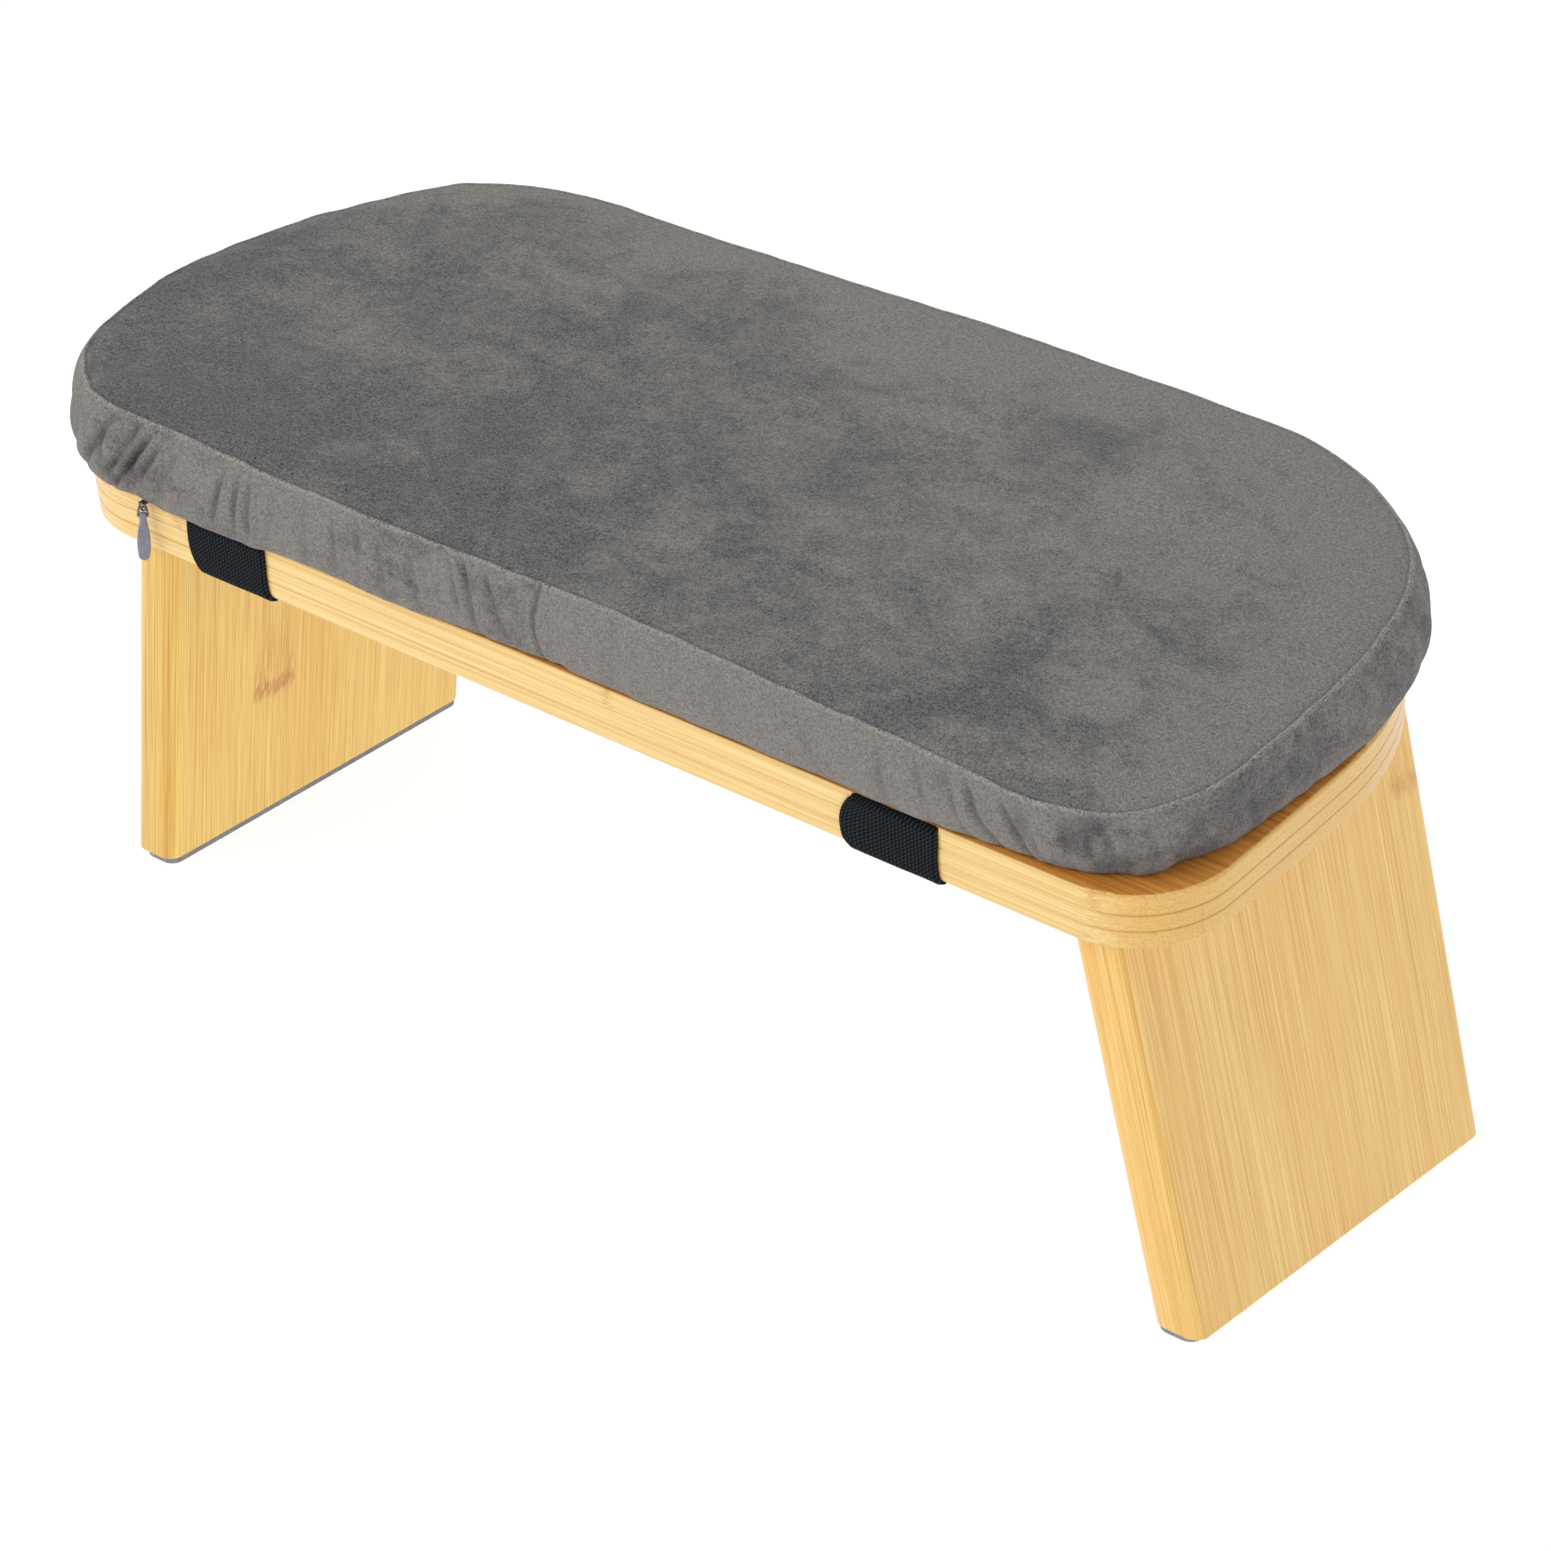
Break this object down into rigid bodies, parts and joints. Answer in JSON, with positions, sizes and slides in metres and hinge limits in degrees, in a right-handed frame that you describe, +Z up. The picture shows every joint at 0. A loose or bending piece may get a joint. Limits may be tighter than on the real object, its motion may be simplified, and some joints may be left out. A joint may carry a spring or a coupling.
{
  "type": "folding kneeling bench with cushion",
  "caption": "Low folding bamboo kneeling bench: a forward-tipped rounded seat board on two splayed fold-in legs, with a zipped grey velvet box cushion held by black elastic straps.",
  "frame": {"origin": "on the floor under the centre of the object's bounding box", "axes": "+X to the right along the seat board, +Z up, -Y towards the low front edge of the seat"},
  "size_m": [0.4812, 0.2173, 0.234],
  "materials": {
    "bamboo_seat": "clear satin lacquer, grain along the board",
    "bamboo_core": "clear satin lacquer, glue lines above and below",
    "bamboo_leg": "clear satin lacquer, grain up the leg",
    "foot_strip": "matt grey non-slip strip",
    "hinge_steel": "plated pressed steel",
    "screw_steel": "plated countersunk screws",
    "elastic": "black woven elastic webbing",
    "velvet": "grey short-pile velvet, brushed in patches",
    "cover_lining": "grey woven backing",
    "foam": "open-cell foam",
    "zip_tape": "grey woven tape",
    "zip_coil": "nylon coil",
    "zip_metal": "dark plated zinc and wire",
    "pull_tab": "grey moulded tab"
  },
  "bodies": {
    "seat": {"seat_bottom_ply": "bamboo_seat", "seat_core_ply": "bamboo_core", "seat_top_ply": "bamboo_seat", "left_front_hinge_seat_leaf": "hinge_steel", "left_front_hinge_pin": "hinge_steel", "left_rear_hinge_seat_leaf": "hinge_steel", "left_rear_hinge_pin": "hinge_steel", "left_hinge_seat_screws": "screw_steel", "right_front_hinge_seat_leaf": "hinge_steel", "right_front_hinge_pin": "hinge_steel", "right_rear_hinge_seat_leaf": "hinge_steel", "right_rear_hinge_pin": "hinge_steel", "right_hinge_seat_screws": "screw_steel", "left_elastic_strap": "elastic", "right_elastic_strap": "elastic", "cushion_foam": "foam", "cover_top_panel": "velvet", "cover_bottom_panel": "cover_lining", "cover_side_band": "velvet", "zip_tapes": "zip_tape", "zip_coils": "zip_coil", "zip_end_stops": "zip_metal"},
    "left_leg_body": {"left_leg": "bamboo_leg", "left_foot_strip": "foot_strip", "left_front_hinge_leg_leaf": "hinge_steel", "left_rear_hinge_leg_leaf": "hinge_steel", "left_hinge_leg_screws": "screw_steel"},
    "right_leg_body": {"right_leg": "bamboo_leg", "right_foot_strip": "foot_strip", "right_front_hinge_leg_leaf": "hinge_steel", "right_rear_hinge_leg_leaf": "hinge_steel", "right_hinge_leg_screws": "screw_steel"},
    "zip_slider_body": {"zip_slider": "zip_metal"},
    "zip_pull_body": {"zip_pull_link": "zip_metal", "zip_pull_tab": "pull_tab"}
  },
  "joints": [
    {"name": "left_leg_fold", "type": "hinge", "parent": "seat", "child": "left_leg_body", "pos_m": [-0.18548, 0.00434, 0.16558], "axis": [0, -0.9899, -0.1418], "range_deg": [0, 100.79]},
    {"name": "right_leg_fold", "type": "hinge", "parent": "seat", "child": "right_leg_body", "pos_m": [0.18548, 0.00434, 0.16558], "axis": [0, 0.9899, 0.1418], "range_deg": [0, 100.79]},
    {"name": "zip_slide", "type": "slide", "parent": "seat", "child": "zip_slider_body", "axis": [1, 0, 0], "range_m": [0, 0.336]},
    {"name": "zip_pull_swing", "type": "hinge", "parent": "zip_slider_body", "child": "zip_pull_body", "pos_m": [-0.186, -0.10566, 0.17255], "axis": [0, 0.9899, 0.1418], "range_deg": [-50, 50]}
  ]
}
